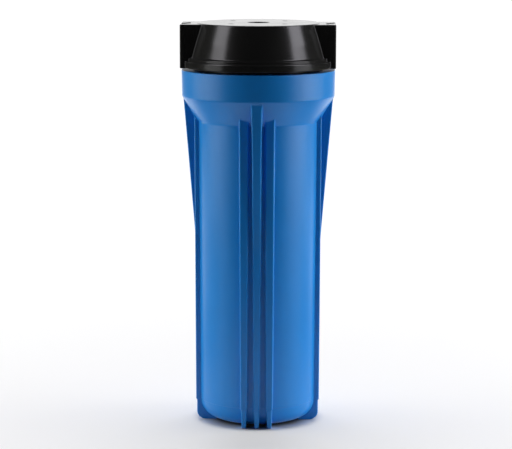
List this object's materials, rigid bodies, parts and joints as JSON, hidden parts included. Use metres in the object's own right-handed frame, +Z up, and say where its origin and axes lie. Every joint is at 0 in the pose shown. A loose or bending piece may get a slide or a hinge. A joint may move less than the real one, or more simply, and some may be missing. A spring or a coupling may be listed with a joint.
{
  "type": "cartridge filter housing",
  "caption": "Inline water filter housing: a cap with side ports and a relief button, and a ribbed bowl that screws onto it around a pleated cartridge.",
  "frame": {"origin": "on the axis, on the plane that the bowl's feet stand on", "axes": "+Z up along the bowl's axis, -X the way the inlet port faces, +X the way the outlet port faces"},
  "size_m": [0.1172, 0.1164, 0.305],
  "materials": {
    "black_plastic": "glossy moulded",
    "blue_plastic": "satin moulded",
    "red_plastic": "glossy moulded",
    "white_plastic": "matt moulded",
    "filter_medium": "non-woven, matt",
    "rubber": "greased",
    "gasket_rubber": "matt",
    "steel": "drawn and turned"
  },
  "bodies": {
    "head": {"cap": "black_plastic", "relief_spring": "steel"},
    "relief_valve": {"relief_button": "red_plastic", "relief_seal": "rubber", "relief_washer": "steel", "relief_nut": "steel"},
    "cartridge": {"cartridge_top_gasket": "gasket_rubber", "cartridge_top_cap": "white_plastic", "cartridge_pleats": "filter_medium", "cartridge_core": "white_plastic", "cartridge_cage": "white_plastic", "cartridge_bottom_cap": "white_plastic", "cartridge_bottom_gasket": "gasket_rubber"},
    "bowl": {"sump": "blue_plastic", "sump_o_ring": "rubber"}
  },
  "joints": [
    {"name": "relief_press", "type": "slide", "parent": "head", "child": "relief_valve", "axis": [0, 0, -1], "range_m": [0, 0.0022], "stiffness_N_per_m": 900, "springref_m": -0.003, "deforming": ["relief_spring"]},
    {"name": "bowl_travel", "type": "slide", "parent": "head", "child": "cartridge", "axis": [0, 0, -1], "range_m": [0, 0.0156]},
    {"name": "bowl_unscrew", "type": "hinge", "parent": "cartridge", "child": "bowl", "pos_m": [0, 0, 0.26], "axis": [0, 0, -1], "range_deg": [0, 1116]}
  ],
  "couplings": [
    {"joint": "bowl_travel", "follows": "bowl_unscrew", "m_per_rad": 0.00079577}
  ]
}
